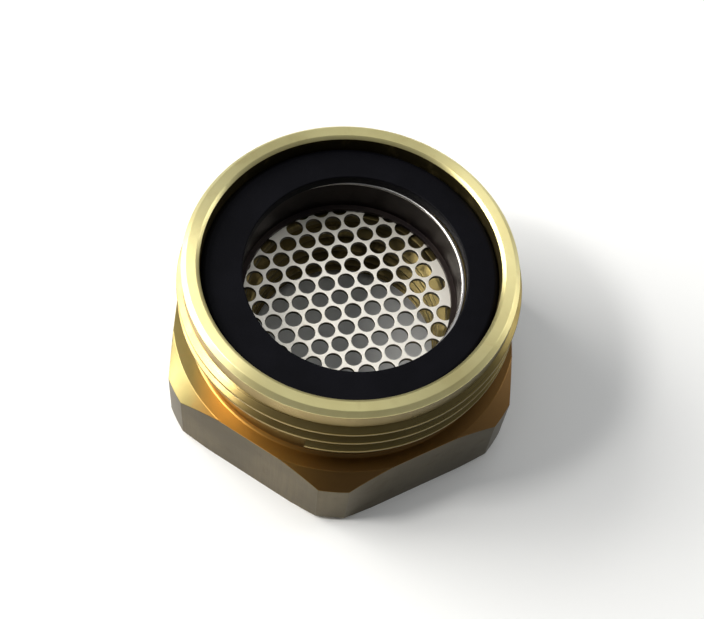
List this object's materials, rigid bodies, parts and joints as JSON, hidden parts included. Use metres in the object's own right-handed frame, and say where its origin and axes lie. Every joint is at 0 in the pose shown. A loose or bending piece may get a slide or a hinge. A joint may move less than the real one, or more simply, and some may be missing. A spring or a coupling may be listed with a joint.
{
  "type": "screened threaded muffler fitting",
  "caption": "Brass hexagon fitting with a short male pipe thread, a female thread in its foot, and a perforated screen under a sleeve and a rubber face gasket in its mouth.",
  "frame": {"origin": "centre of the hexagon's end face, on the bore's axis", "axes": "+Z along the bore, out of the male thread's mouth; two hexagon flats face +X and -X, two corners point along +Y and -Y"},
  "size_m": [0.0426, 0.0472, 0.0236],
  "materials": {
    "brass": "satin, turned and lightly brushed",
    "rubber": "matte",
    "sleeve_steel": "smooth satin",
    "screen_steel": "bright, punched"
  },
  "bodies": {
    "fitting": {"body": "brass"},
    "seal": {"gasket": "rubber"},
    "retainer": {"sleeve": "sleeve_steel"},
    "strainer": {"screen": "screen_steel"}
  },
  "joints": [
    {"name": "sleeve_lift", "type": "slide", "parent": "fitting", "child": "retainer", "axis": [0, 0, 1], "range_m": [0, 0.026]},
    {"name": "gasket_lift", "type": "slide", "parent": "fitting", "child": "seal", "axis": [0, 0, 1], "range_m": [0, 0.039]},
    {"name": "screen_lift", "type": "slide", "parent": "fitting", "child": "strainer", "axis": [0, 0, 1], "range_m": [0, 0.013]}
  ],
  "couplings": [
    {"joint": "gasket_lift", "follows": "sleeve_lift", "ratio": 1.5},
    {"joint": "screen_lift", "follows": "sleeve_lift", "ratio": 0.5}
  ]
}
